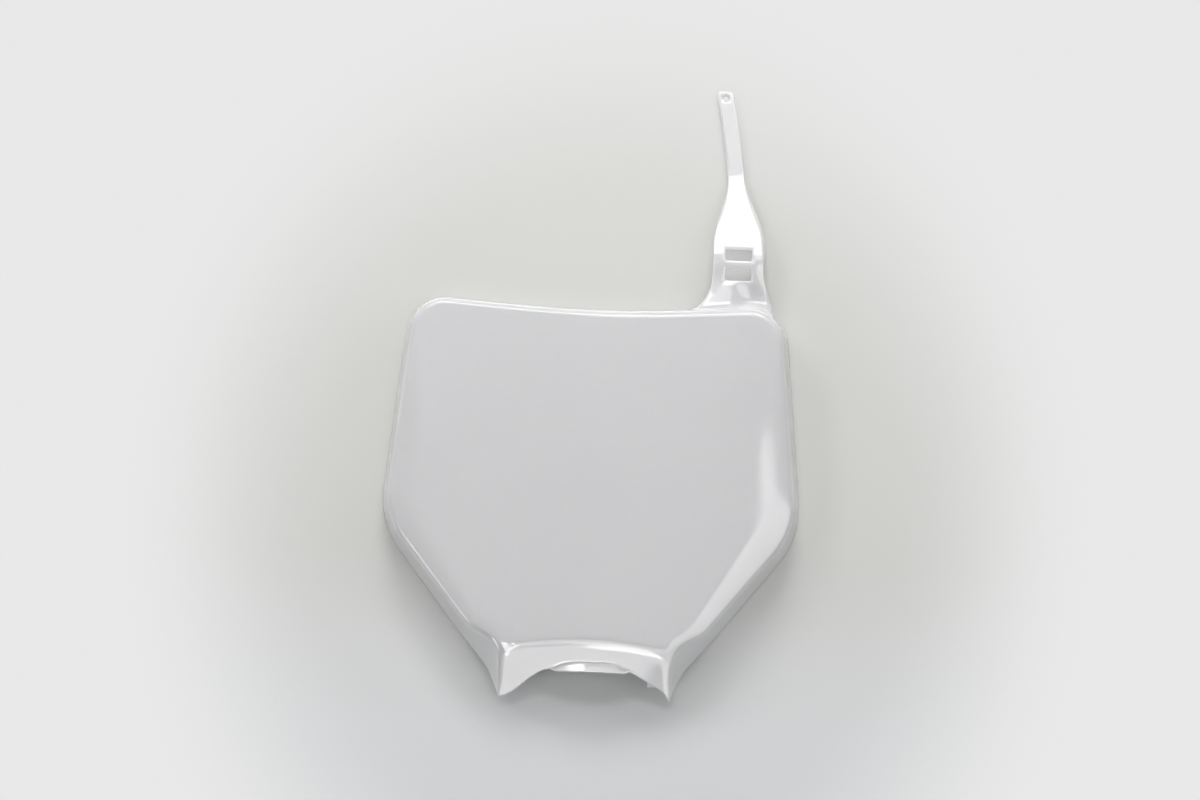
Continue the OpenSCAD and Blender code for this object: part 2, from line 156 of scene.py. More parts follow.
def on_tail(s):
    """The same for the run from the shoulder to the horn."""
    if s < LOW_RUN:
        return on_piece(PIECES[5], s)
    if s < LOW_RUN + PIECES[6][2]:
        return on_piece(PIECES[6], s - LOW_RUN)
    return on_piece(PIECES[7], s - LOW_RUN - PIECES[6][2])


print("pieces of half a rim:", len(PIECES), "length in mm:", round(sum(p[2] for p in PIECES), 1))

# %% [markdown]
# The section of the tray
# Along the rim the same section runs round the board: up the drafted wall, round the edge, over a soft bevel
# and onto the slightly crowned face. Only the bevel's width and the wall's lean change on the way, so
# each height and distance is a small function of the place.

# %%
def face_z(x, y):
    return DEPTH - CROWN_X * (x / HALF_W) ** 2 - CROWN_Y * (y / TOP_Y) ** 2


def fold(x):
    return -FOLD_Y - FOLD_BOW * (x / FOLD_HALF) ** 2


def chin_z(x, y):
    return face_z(x, fold(x)) + (y - fold(x)) * tan(CHIN_SLOPE)


def rim_z(y):
    return HORN_LIFT * ease((LIFT_START - y) / (LIFT_START - LIFT_END))


def draft_at(y):
    return mix(DRAFT, HORN_DRAFT, ease((LEAN_START - y) / (LEAN_START - LEAN_END)))


def bevel_w(y):
    if y > BEVEL_PEAK:
        return mix(BEVEL_MID, BEVEL_TOP, ease((y - BEVEL_PEAK) / (BEVEL_START - BEVEL_PEAK)))
    return mix(BEVEL_MID, BEVEL_LOW, clamp((BEVEL_PEAK - y) / (BEVEL_PEAK - BEVEL_END)) ** BEVEL_POWER)


def bevel_z(y, s):
    return BEVEL_DROP * bevel_w(y) / BEVEL_MID * (1 - clamp(s / bevel_w(y))) ** 2


def edge_z(b):
    return face_z(b[0], b[1]) - bevel_z(b[1], 0)


def wall_in(b, z):
    return rim_z(b[1]) * tan(DRAFT) + (z - rim_z(b[1])) * tan(draft_at(b[1]))


def on_wall(b, z, t):
    d = wall_in(b, z) + (WALL_SKEW if t else 0)
    return (b[0] - b[2] * d, b[1] - b[3] * d, z)


def on_bevel(b, s, t):
    d = wall_in(b, edge_z(b)) + s
    x, y = b[0] - b[2] * d, b[1] - b[3] * d
    return (x, y, face_z(x, y) - bevel_z(b[1], s) - t)


def bevel_from(t):
    return EDGE_R + (WALL_SKEW - INNER_PULL * EDGE_R if t else 0)


def on_edge(b, u, t):
    top = edge_z(b) - t
    p = [on_wall(b, top - EDGE_R, t), on_wall(b, top, t), on_bevel(b, bevel_from(t), t)]
    return tuple(a * (1 - u) ** 2 + c * 2 * u * (1 - u) + e * u * u for a, c, e in zip(*p))


print("face height in the middle and at a shoulder:", face_z(0, 0), round(face_z(116, -10), 2))
print("bevel width at the top, middle and horns:", [round(bevel_w(y), 1) for y in (105, 15, -90)])

# %% [markdown]
# Rows of the section
# A row is ("wall", share of its height), ("edge", share of the rounding), ("bevel", share of its width) or
# ("face", distance past the bevel). Rows lie close together where the surface turns, because the studio's
# lamps show up there as bright lines, and far apart where it is nearly flat.

# %%
WALL_ROWS = [0, 0.05, 0.24, 0.43, 0.62, 0.8, 0.92, 1]
EDGE_ROWS = [0.2, 0.4, 0.6, 0.8, 1]
BEVEL_ROWS = [0.08, 0.2, 0.35, 0.5, 0.66, 0.83, 1]
FACE_ROWS = [0.6, 1.3, 2.2, 3.5, 5.5, 8.5]
OUTER = ([("wall", f) for f in WALL_ROWS] + [("edge", f) for f in EDGE_ROWS]
         + [("bevel", f) for f in BEVEL_ROWS] + [("face", f) for f in FACE_ROWS])
INNER = ([("wall", f) for f in (0, 0.25, 0.5, 0.75, 1)] + [("edge", f) for f in (0.33, 0.66, 1)]
         + [("bevel", f) for f in (0.2, 0.45, 0.7, 1)] + [("face", f) for f in (1.3, 3.5, 8.5)])
SHRINK = [0.86, 0.7, 0.54, 0.38, 0.24, 0.12]


def section(b, row, t):
    kind, f = row
    if kind == "wall":
        return on_wall(b, mix(rim_z(b[1]), edge_z(b) - t - EDGE_R, f), t)
    if kind == "edge":
        return on_edge(b, f, t)
    width = BEVEL_SHARE * bevel_w(b[1])
    return on_bevel(b, bevel_from(t) + (width * f if kind == "bevel" else width + f), t)


def chin_at(x, y, t):
    return chin_z(x, y) - (CHIN_SKEW if t else 0)


def before_chin(p, row, t):
    """Positive while a point of the section is still on the board's side and not yet on the chin."""
    if row[0] == "face":
        return p[1] - fold(p[0]) - row[1]
    return chin_at(p[0], p[1], t) - p[2]


def meet_chin(row, t):
    a, b = 0.0, TAIL_LEN
    for _ in range(24):
        m = (a + b) / 2
        if before_chin(section(on_tail(m), row, t), row, t) > 0:
            a = m
        else:
            b = m
    return (a + b) / 2


TIP = section(on_tail(meet_chin(OUTER[0], 0)), OUTER[0], 0)
TIP_IN = section(on_tail(meet_chin(OUTER[0], WALL)), OUTER[0], WALL)
print("rows outside and inside:", len(OUTER), len(INNER), "horn tip:", [round(c, 2) for c in TIP])

# %% [markdown]
# The chin and its arch
# Below the fold the rows leave the wall and run across the chin to the other horn. The last row is the
# arch's edge, with a straight middle that stands out a little and carries a lip. The right flank is cut wider
# than the left one, as on the board that was photographed.

# %%
def flat_end(x):
    return ARCH_FLAT + LEAN_SHIFT * ARCH_LEAN * (1 if x > 0 else -1)


def arch(x, tip):
    side = 1 if x > 0 else -1
    u = clamp((abs(x) - flat_end(x)) / (tip[0] - flat_end(x)))
    wide = WIDE_SHARE * u + (1 - WIDE_SHARE) * u ** WIDE_POWER
    drop = mix(ease(u), wide, (1 + side * ARCH_LEAN) / 2)
    return mix(TAB - ARCH_Y, tip[1], drop) - TAB * ease((flat_end(x) - abs(x)) / TAB_RUN)


def lip_z(x, y):
    """The lip is a crescent: widest in the middle of the arch and run out at the ends of its straight."""
    middle = LEAN_SHIFT * ARCH_LEAN
    width = LIP_W * (1 - min(1, abs(x - middle) / (ARCH_FLAT + 1)) ** LIP_POWER)
    rise = mix(*LIP_RISE, ease((x - LIP_TWIST[0]) / (LIP_TWIST[1] - LIP_TWIST[0])))
    return max(0, width - (y - arch(x, TIP))) * (tan(CHIN_SLOPE) + tan(rise))


def chin_share(row, t):
    """How far across the chin a row lies in the middle, from 0 at the fold to 1 at the arch's edge."""
    sheet = [r for r in (INNER if t else OUTER) if r[0] != "face"]
    place = 1 - sheet.index(row) / (len(sheet) - 1)
    return mix(place, ease(place), ROW_EASE)


def chin_point(s, row, t, end):
    x = s * end[0]
    if row[0] == "face":
        y = fold(x) + row[1]
        return (x, y, soft_min(face_z(x, y) - t, chin_at(x, y, t), FOLD_SOFT))
    base = TIP_IN if t else TIP
    cut = arch(x, TIP) + ((TIP_IN[1] - arch(TIP_IN[0], TIP)) * abs(s) ** TIP_POWER if t else 0)
    at_end = (fold(end[0]) - end[1]) / (fold(end[0]) - base[1])
    y = mix(fold(x), cut, mix(chin_share(row, t), at_end, abs(s) ** END_POWER))
    return (x, y, soft_min(face_z(x, y) - t, chin_at(x, y, t), FOLD_SOFT) + lip_z(x, y))


def soften(p, row, t):
    if row[0] == "wall":
        return p
    return (p[0], p[1], soft_min(p[2], chin_at(p[0], p[1], t), FOLD_SOFT))


print("arch edge at the middle, its ends and its flanks:",
      [round(arch(x, TIP), 1) for x in (0, -20, 26, -35, 38, 46)])

# %% [markdown]
# Points round the board
# A ring is one row followed all the way round. The right half is worked out and mirrored, and the chin lies
# between the halves. The columns on the top edge are set so that twelve of them end where the strap begins.

# %%
STRAP_COLS, ROOT_SHARE, CORNER_SHARE, TAIL_CROWDING = 12, 0.11, 0.5, 1.35
CORNER_RUN = PIECES[2][2]
ROOT_START = ROOT_SHARE * TOP_RUN
ROOT_LENGTH = TOP_RUN - ROOT_START + CORNER_SHARE * CORNER_RUN
SAG_STEPS, RUN_STEPS, CORNER_STEPS, SIDE_STEPS = 8, 1, 7, 16
BEND_STEPS, TAIL_STEPS, CHIN_STEPS = 16, 26, 72


def on_top(s):
    return on_piece(PIECES[1], s) if s < TOP_RUN else on_piece(PIECES[2], s - TOP_RUN)


HEAD = [on_piece(PIECES[0], PIECES[0][2] * j / SAG_STEPS) for j in range(SAG_STEPS)]
HEAD += [on_top(ROOT_START * j / RUN_STEPS) for j in range(RUN_STEPS)]
ROOT_COLUMN = len(HEAD)
HEAD += [on_top(ROOT_START + ROOT_LENGTH * j / STRAP_COLS) for j in range(STRAP_COLS)]
HEAD += [on_piece(PIECES[2], CORNER_RUN * mix(CORNER_SHARE, 1, j / CORNER_STEPS))
         for j in range(CORNER_STEPS)]
HEAD += [on_piece(PIECES[3], PIECES[3][2] * j / SIDE_STEPS) for j in range(SIDE_STEPS)]
HEAD += [on_piece(PIECES[4], PIECES[4][2] * j / BEND_STEPS) for j in range(BEND_STEPS)]


def ring(row, t):
    stop = meet_chin(row, t)
    side = [soften(section(b, row, t), row, t) for b in HEAD]
    tail = [stop * (1 - (1 - i / TAIL_STEPS) ** TAIL_CROWDING) for i in range(TAIL_STEPS + 1)]
    side += [soften(section(on_tail(s), row, t), row, t) for s in tail]
    end = section(on_tail(stop), row, t)
    chin = [chin_point(1 - 2 * j / CHIN_STEPS, row, t, end) for j in range(1, CHIN_STEPS)]
    return side + chin + [(-p[0], p[1], p[2]) for p in side[:0:-1]]


def shrunk(points, f, t):
    return [(p[0] * f, p[1] * f, face_z(p[0] * f, p[1] * f) - t) for p in points]


RIM = ring(OUTER[0], 0)
print("points in a ring:", len(RIM))

# %% [markdown]
# Growing the tray
# The tray starts as a circle of edges that is laid on the rear rim. Extruding that ring again and again, each
# time onto the next row, draws the wall, the edge, the bevel and the face. The same is done inwards for the
# hollow back, so that the two skins share the rim and the tray is closed.

# %%
OFFSET_Y = 1000 * HIGH[1] - STRAP_TIP


def to_row(p):
    """Board millimetres to metres in the row frame, kept inside the CAD box."""
    q = (p[0] / 1000, (p[1] + OFFSET_Y) / 1000, p[2] / 1000)
    return Vector([min(max(c, lo), hi) for c, lo, hi in zip(q, LOW, HIGH)])


def loop_edges(bm, loop):
    return [bm.edges.get((a, b)) for a, b in zip(loop, loop[1:] + loop[:1])]


def grow(bm, loop, points):
    """Extrudes a closed loop of vertices and lays the new loop on points, in the same order."""
    made = bmesh.ops.extrude_edge_only(bm, edges=loop_edges(bm, loop))["geom"]
    new = {v for v in made if isinstance(v, bmesh.types.BMVert)}
    out = [next(e.other_vert(v) for e in v.link_edges if e.other_vert(v) in new) for v in loop]
    for v, p in zip(out, points):
        v.co = to_row(p)
    return out


def close_on(bm, loop, point):
    """Closes a loop on one point in its middle."""
    last = grow(bm, loop, [point] * len(loop))
    bmesh.ops.pointmerge(bm, verts=last, merge_co=to_row(point))


bm = bmesh.new()
start = bmesh.ops.create_circle(bm, cap_ends=False, radius=1, segments=len(RIM))["verts"]
for v, p in zip(start, RIM):
    v.co = to_row(p)
rows = [start]
for row in OUTER[1:]:
    rows.append(grow(bm, rows[-1], ring(row, 0)))
last_ring = ring(OUTER[-1], 0)
loop = rows[-1]
for f in SHRINK:
    loop = grow(bm, loop, shrunk(last_ring, f, 0))
close_on(bm, loop, (0, 0, face_z(0, 0)))
loop = start
for row in INNER:
    loop = grow(bm, loop, ring(row, WALL))
last_ring = ring(INNER[-1], WALL)
for f in SHRINK:
    loop = grow(bm, loop, shrunk(last_ring, f, WALL))
close_on(bm, loop, (0, 0, face_z(0, 0) - WALL))
print("tray faces:", len(bm.faces), "open edges:", sum(1 for e in bm.edges if len(e.link_faces) != 2))

# %% [markdown]
# Softening the crease between chin and wall
# In the mould this crease is a rounded corner and not a knife edge. The vertices on both sides of it are
# smoothed a few times, most at the crease itself, which rounds it without moving the outline.

# %%
COLUMN_END = len(HEAD) + TAIL_STEPS
MIRROR_END = COLUMN_END + CHIN_STEPS
LAST_BEVEL_ROW = len(WALL_ROWS) + len(EDGE_ROWS) + len(BEVEL_ROWS)
for reach, times in ((3, 2), (2, 3), (1, 3)):
    for _ in range(times):
        near = [rows[k][c + d] for k in range(2, LAST_BEVEL_ROW)
                for c in (COLUMN_END, MIRROR_END) for d in range(-reach, reach + 1)]
        bmesh.ops.smooth_vert(bm, verts=near, factor=0.5, use_axis_x=True, use_axis_y=True, use_axis_z=True)
print("columns softened:", COLUMN_END, MIRROR_END)

# %% [markdown]
# The strap's section and course
# The strap climbs away from the wall, falls over a soft hump to a level tail and narrows there like a
# bottle. Its course is two straight slopes joined by a smooth minimum, so the hump needs no points of its
# own. A vertex of its section is (column, side share), and the columns are spaced so that the slots fit.

# %%
STRAP_X, STRAP_T, STRAP_W, TAIL_W, TAIL_Y, TAPER, BEND_R = 81.7, 2.2, 30, 10, 199, 44, 480
ROOT_TOP_Y, RISE, FALL, TAIL_Z, HUMP_SOFT, TAIL_SOFT = 137, 18, 8.5, 0.8, 1.1, 0.15
BEND_Y, TIP_R, ROUND, CORNER_CUT, STRAP_ROOT_Z = 150, 2.4, 0.7, 0.29, 1.6
SLOT_Y, SLOT_PITCH, SLOT_L, SLOT_W, SLOT_R, HOLE_D, HOLE_IN = 137.1, 11.5, 15.5, 7, 1.5, 4, 4.5
WINDOW = 0.65
SPREAD = [-0.9, -0.76, -0.38, 0, 0.38, 0.76, 0.9]


def under_z(y):
    up = STRAP_ROOT_Z + (y - TOP_Y) * tan(RISE)
    down = TAIL_Z + (TAIL_Y - y) * tan(FALL)
    return -soft_min(-soft_min(up, down, HUMP_SOFT), -TAIL_Z, TAIL_SOFT)


def middle_x(y):
    return STRAP_X - max(0, y - BEND_Y) ** 2 / (2 * BEND_R)


def half_strap(y):
    d = max(0, TIP_R - (STRAP_TIP - y))
    return mix(TAIL_W, STRAP_W, ease((TAIL_Y - y) / TAPER)) / 2 - (TIP_R - math.sqrt(TIP_R ** 2 - d * d))


def column_x(i, half):
    """Offset of column i from the strap's middle line."""
    edge = CORNER_CUT * ROUND
    inner = [WINDOW * half * f for f in [-1] + SPREAD + [1]]
    return ([-half + edge, -half + ROUND] + inner + [half - ROUND, half - edge])[i]


def strap_vertex(i, v, y):
    """A point of the section at y: column i, and v from 0 at the underside to 1 at the top."""
    half = half_strap(y)
    corner = i in (0, STRAP_COLS) and v in (0, 1)
    x = column_x(i, half)
    if i in (0, STRAP_COLS) and not corner:
        x = math.copysign(half, i - 1)
    drop = CORNER_CUT * ROUND * (1 - 2 * v) if corner else 0
    return (middle_x(y) + x, y, under_z(y) + STRAP_T * v + drop)


SIDES = [ROUND / STRAP_T, 1 - ROUND / STRAP_T]
SECTION = ([(i, 1) for i in range(STRAP_COLS + 1)] + [(STRAP_COLS, v) for v in SIDES[::-1]]
           + [(i, 0) for i in range(STRAP_COLS, -1, -1)] + [(0, v) for v in SIDES])
print("vertices in the strap's section:", len(SECTION), "height of its hump:", round(under_z(146), 1))

# %% [markdown]
# Drawing the strap out of the wall
# A window of wall faces under the top edge is taken out, and its border is extruded section by section.
# Because the strap starts on the wall's own vertices, it is one skin with the board. Its flare is a curve in
# plan, and a web of plastic between strap and wall stands high at the flare's left and low in its middle.

# %%
WINDOW_ROWS = (1, 2, 3, 4)
low_row, high_row = WINDOW_ROWS[0], WINDOW_ROWS[-1]
columns = range(ROOT_COLUMN, ROOT_COLUMN + STRAP_COLS + 1)
inside = {rows[k][c] for k in WINDOW_ROWS for c in columns}
window = [f for f in bm.faces if all(v in inside for v in f.verts)]
by_share = {1: high_row, SIDES[1]: WINDOW_ROWS[2], SIDES[0]: WINDOW_ROWS[1], 0: low_row}
bmesh.ops.delete(bm, geom=window, context="FACES")
root = [rows[by_share[v]][ROOT_COLUMN + i] for i, v in SECTION]
ROOT_POINTS = [(1000 * v.co.x, 1000 * v.co.y - OFFSET_Y, 1000 * v.co.z) for v in root]
FLARE_PULL, FLARE_REACH, ROOT_ROWS = (0.09, 0.2), (3, 6), 14
WEB_LEFT, WEB_RIGHT, WEB_SINK, WEB_RISE = 5.2, 1.5, (0.4, 0.72), (0.72, 1)
WEB_SOFT, WEB_POWER, WALL_POWER, ROOT_SINK = 0.5, 4, 8, 0.8


def web_lift(q):
    """How far the web between strap and wall climbs the wall: high at the left, low in the middle."""
    sunk, risen = (ease((q - a) / (b - a)) for a, b in (WEB_SINK, WEB_RISE))
    return WEB_LEFT * (1 - sunk) + WEB_RIGHT * risen


def root_vertex(n, u):
    """Vertex n of the section on its way from the wall, at u 0, to the strap proper, at u 1."""
    i, v = SECTION[n]
    w, q = ROOT_POINTS[n], i / STRAP_COLS
    e = strap_vertex(i, v, ROOT_TOP_Y)
    c = (mix(e[0], w[0], mix(*FLARE_PULL, q)), mix(w[1] + FLARE_REACH[0], ROOT_TOP_Y - FLARE_REACH[1], q))
    x, y = (w[k] * (1 - u) ** 2 + c[k] * 2 * u * (1 - u) + e[k] * u * u for k in (0, 1))
    rest = strap_vertex(i, v, y)[2]
    level = STRAP_ROOT_Z + mix(-ROOT_SINK, STRAP_T + web_lift(q), v)
    web = -soft_min(-rest, -level, WEB_SOFT)
    return (x, y, mix(mix(web, rest, u ** WEB_POWER), w[2], (1 - u) ** WALL_POWER))


MID_SLOTS = SLOT_Y + SLOT_PITCH / 2
HOLE_Y = STRAP_TIP - HOLE_IN
HOLE_START = HOLE_Y - 3.1
OPENING_STEPS, FALL_STEPS, LEVEL_STEPS = 6, 16, 14
COURSE = [mix(ROOT_TOP_Y, MID_SLOTS, j / 3) for j in (1, 2, 3)]
COURSE += [MID_SLOTS + SLOT_PITCH * j / OPENING_STEPS for j in range(1, OPENING_STEPS + 1)]
SLOTS_END = COURSE[-1]
COURSE += [mix(SLOTS_END, TAIL_Y, j / FALL_STEPS) for j in range(1, FALL_STEPS + 1)]
COURSE += [mix(TAIL_Y, HOLE_START, j / LEVEL_STEPS) for j in range(1, LEVEL_STEPS + 1)]
COURSE += [HOLE_START + j for j in range(1, OPENING_STEPS + 1)]
COURSE += [STRAP_TIP - d for d in (1.1, 0.7, 0.35)]
sections = [root]
for j in range(1, ROOT_ROWS + 1):
    sections.append(grow(bm, sections[-1], [root_vertex(n, j / ROOT_ROWS) for n in range(len(SECTION))]))
for y in COURSE:
    sections.append(grow(bm, sections[-1], [strap_vertex(i, v, y) for i, v in SECTION]))
TIP_THIN, TIP_NARROW, TIP_X = 0.75, 0.97, middle_x(STRAP_TIP)
end = [strap_vertex(i, mix(0.5, v, TIP_THIN), STRAP_TIP) for i, v in SECTION]
sections.append(grow(bm, sections[-1], [(TIP_X + TIP_NARROW * (x - TIP_X), y, z) for x, y, z in end]))
tip_face = bmesh.ops.contextual_create(bm, geom=loop_edges(bm, sections[-1]))["faces"]
print("sections of the strap:", len(sections), "tip faces:", len(tip_face))

# %% [markdown]
# Opening the slots and the hole
# For each opening a window of faces is taken out of the upper and the lower skin. The upper border is
# extruded to the opening's outline, round its edge, down through the strap and round the lower edge, and
# then bridged to the lower border.

# %%
OPENING_ROUND, OPENING_CUT = 0.4, 0.12


def border(first, last, upper):
    """The closed border of a window of the strap, between two sections and columns 2 to 10."""
    def at(j, i):
        return sections[j][i if upper else STRAP_COLS + 2 + (STRAP_COLS - i) + 1]
    cols = range(2, STRAP_COLS - 1)
    path = [at(first, i) for i in cols] + [at(j, cols[-1]) for j in range(first + 1, last)]
    path += [at(last, i) for i in reversed(cols)] + [at(j, cols[0]) for j in range(last - 1, first, -1)]
    return path, {at(j, i) for j in range(first, last + 1) for i in cols}


def slot_outline(centre, size, radius, count_x, count_y, out):
    """Points of a rounded rectangle in the order of a border with count_x by count_y steps."""
    hx, hy = size[0] / 2 + out, size[1] / 2 + out
    r = radius + out

    def along(n):
        inset = [-1, -1 + 0.75 * r / hx * 0.5, -1 + r / hx * 0.95]
        flat = [mix(inset[2], -inset[2], k / (n - 4)) for k in range(n - 3)]
        return inset[:2] + flat + [-inset[1], 1]
    xs = [p * hx for p in along(count_x)]
    inset_y = [-1, -1 + 0.375 * r / hy, -1 + 0.95 * r / hy]
    flat_y = [mix(inset_y[2], -inset_y[2], k / (count_y - 4)) for k in range(count_y - 3)]
    ys = [p * hy for p in inset_y[:2] + flat_y + [-inset_y[1], 1]]
    square = [(x, -hy) for x in xs] + [(hx, y) for y in ys[1:-1]]
    square += [(x, hy) for x in reversed(xs)] + [(-hx, y) for y in reversed(ys[1:-1])]
    points = []
    for x, y in square:
        cx, cy = math.copysign(hx - r, x), math.copysign(hy - r, y)
        dx, dy = x - cx, y - cy
        if dx * x > 0 and dy * y > 0:
            length = math.hypot(dx, dy)
            x, y = cx + dx * r / length, cy + dy * r / length
        points.append((centre[0] + x, centre[1] + y))
    return points


def open_through(first, last, outline):
    """Opens the strap between two sections along an outline, and says how many faces went and came."""
    top, inside_top = border(first, last, True)
    bottom, inside_bottom = border(first, last, False)
    gone = [f for f in bm.faces
            if all(v in inside_top for v in f.verts) or all(v in inside_bottom for v in f.verts)]
    bmesh.ops.delete(bm, geom=gone, context="FACES")
    soft, cut = OPENING_ROUND, OPENING_CUT
    steps = [(soft, 1, 0), (cut, 1, -cut), (0, 1, -soft), (0, 0, soft), (cut, 0, cut), (soft, 0, 0)]
    loop = top
    for out, v, dz in steps:
        loop = grow(bm, loop, [(x, y, under_z(y) + STRAP_T * v + dz) for x, y in outline(out)])
    bridged = bmesh.ops.bridge_loops(bm, edges=loop_edges(bm, loop) + loop_edges(bm, bottom))["faces"]
    return len(gone), len(bridged)


ACROSS = STRAP_COLS - 4
for first, y in ((ROOT_ROWS - 3, SLOT_Y), (ROOT_ROWS + 3, SLOT_Y + SLOT_PITCH)):
    counts = open_through(first, first + OPENING_STEPS, lambda out, y=y: slot_outline(
        (middle_x(SLOT_Y), y), (SLOT_L, SLOT_W), SLOT_R, ACROSS, OPENING_STEPS, out))
    print("slot at", y, "faces out and in:", counts)
first = ROOT_ROWS + 3 + OPENING_STEPS + FALL_STEPS + LEVEL_STEPS
counts = open_through(first, first + OPENING_STEPS, lambda out: slot_outline(
    (middle_x(HOLE_Y), HOLE_Y), (HOLE_D, HOLE_D), HOLE_D / 2 - 0.001, ACROSS, OPENING_STEPS, out))
print("hole at", HOLE_Y, "faces out and in:", counts)
print("open edges:", sum(1 for e in bm.edges if len(e.link_faces) != 2))

# %% [markdown]
# The board's object
# The finished skin becomes one object that stands for the CAD node. Its normals are worked out after the
# mesh is complete. It is shaded smooth.

# %%
def finish_mesh(bm, name):
    bmesh.ops.remove_doubles(bm, verts=bm.verts, dist=1e-7)
    bmesh.ops.recalc_face_normals(bm, faces=bm.faces)
    for f in bm.faces:
        f.smooth = True
    mesh = bpy.data.meshes.new(name)
    bm.to_mesh(mesh)
    bm.free()
    obj = bpy.data.objects.new(name, mesh)
    bpy.context.scene.collection.objects.link(obj)
    return obj


board = finish_mesh(bm, "board_skin")
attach(board, "root")
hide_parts("number_board")
print("board faces:", len(board.data.polygons))

# %% [markdown]
# Pegs behind the chin
# Two short pegs locate the board in rubber seats. Each stands on a wedge that gives it a level foot on the
# sloping chin. They are a cylinder and a shaped block with their edges broken.

# %%
PAD_W, PAD_RUN, PEG_SUNK = PEG_D + 1, 10, 1
PEG_EDGE, PAD_EDGE = 0.0005, 0.0004
bm = bmesh.new()
pad_z = PEG_END + PEG_L
low_y = PEG_Y - PAD_W / 2
high_y = low_y + PAD_RUN
peg_high = PEG_L + PEG_SUNK
for side in (-1, 1):
    cone = bmesh.ops.create_cone(bm, cap_ends=True, segments=40, radius1=PEG_D / 2000, radius2=PEG_D / 2000,
                                 depth=peg_high / 1000)["verts"]
    bmesh.ops.translate(bm, verts=cone, vec=to_row((side * PEG_SPAN / 2, PEG_Y, PEG_END + peg_high / 2)))
    free = {e for v in cone for e in v.link_edges if all(1000 * w.co.z < PEG_END + 0.1 for w in e.verts)}
    bmesh.ops.bevel(bm, geom=list(free), offset=PEG_EDGE, segments=3, profile=0.5, affect="EDGES",
                    material=-1)
    cube = bmesh.ops.create_cube(bm, size=1)["verts"]
    for v in cube:
        x = (side * PEG_SPAN + PAD_W * (1 if v.co.x > 0 else -1)) / 2
        y = high_y if v.co.y > 0 else low_y
        z = chin_z(PEG_SPAN / 2, y) - CHIN_SKEW / 2 if v.co.z > 0 else pad_z
        v.co = to_row((x, y, z))
    edges = {e for v in cube for e in v.link_edges}
    bmesh.ops.bevel(bm, geom=list(edges), offset=PAD_EDGE, segments=2, profile=0.5, affect="EDGES",
                    material=-1)
pegs = finish_mesh(bm, "chin_pegs")
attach(pegs, "root")
print("peg faces:", len(pegs.data.polygons))

# %% [markdown]
# White moulded plastic
# White plastic lets light in and scatters it below the skin, which softens the shadows in its own hollows.
# The skin over it is glossy. Its index of refraction is set above that of real plastic, so that soft lamps
# show in it as clearly as the photograph's harder ones. A wide, weak bump is the unevenness of the moulding.

# %%
def plastic(name):
    material = bpy.data.materials.new(name)
    material.use_nodes = True
    nodes, links = material.node_tree.nodes, material.node_tree.links
    shader = nodes["Principled BSDF"]
    shader.inputs["Roughness"].default_value = 0.07
    shader.inputs["IOR"].default_value = 1.9
    shader.inputs["Subsurface Weight"].default_value = 1
    shader.inputs["Subsurface Radius"].default_value = (1, 1, 0.9)
    shader.inputs["Subsurface Scale"].default_value = 0.003
    place = nodes.new("ShaderNodeTexCoord")
    wave = nodes.new("ShaderNodeTexNoise")
    wave.inputs["Scale"].default_value = 26
    wave.inputs["Detail"].default_value = 1
    links.new(place.outputs["Object"], wave.inputs["Vector"])
    bump = nodes.new("ShaderNodeBump")
    bump.inputs["Strength"].default_value = 0.05
    bump.inputs["Distance"].default_value = 0.001
    links.new(wave.outputs["Fac"], bump.inputs["Height"])
    links.new(bump.outputs["Normal"], shader.inputs["Normal"])
    tint = nodes.new("ShaderNodeMix")
    tint.data_type = "RGBA"
    tint.inputs["A"].default_value = (0.772, 0.772, 0.78, 1)
    tint.inputs["B"].default_value = (0.792, 0.792, 0.80, 1)
    links.new(wave.outputs["Fac"], tint.inputs["Factor"])
    links.new(tint.outputs["Result"], shader.inputs["Base Color"])
    return material


white = plastic("white_plastic_skin")
for obj in (board, pegs):
    obj.data.materials.append(white)
print("material:", white.name)

# %% [markdown]
# Pale paper
# The board lies on white paper. Its tint is painted light: darker and warmer round the board, lighter and
# cooler in front of the chin. Far from the board the camera sees the paper as the even pale grey of a lit
# backdrop, and only the camera does, so it lights nothing. Below the strap's openings some of the backdrop
# is mixed in as painted pools of light, where light falls through them on the paper.

# %%
# Painted light: pools of backdrop glow on the paper under the slots and the hole
SLOTS_AT = (middle_x(SLOT_Y) / 1000, (SLOT_Y + SLOT_PITCH / 2 + 3 + OFFSET_Y) / 1000, 0)
HOLE_AT = (middle_x(HOLE_Y) / 1000, (HOLE_Y + OFFSET_Y) / 1000, 0)
# Each painted light spot is (middle, radius of its even part, outer radius, share of the backdrop)
PAINTED_LIGHT_SPOTS = [(SLOTS_AT, 0.007, 0.0175, 0.52), (HOLE_AT, 0.001, 0.0046, 0.5)]
# Painted light: the paper is darker and warmer round the board and lighter and cooler in front of the chin
WARM_SHADED_PAPER, COOL_LIT_PAPER, BACKDROP = (0.72, 0.725, 0.698, 1), (0.78, 0.79, 0.80, 1), (0.812, 0.812, 0.812, 1)
LIT_PAPER_FROM, LIT_PAPER_TO, FADE_FROM, FADE_TO = -0.10, -0.20, 0.155, 0.285
FADE_SHIFT, FADE_STRETCH = (-0.01, 0.07, 0), (1, 0.85, 0)


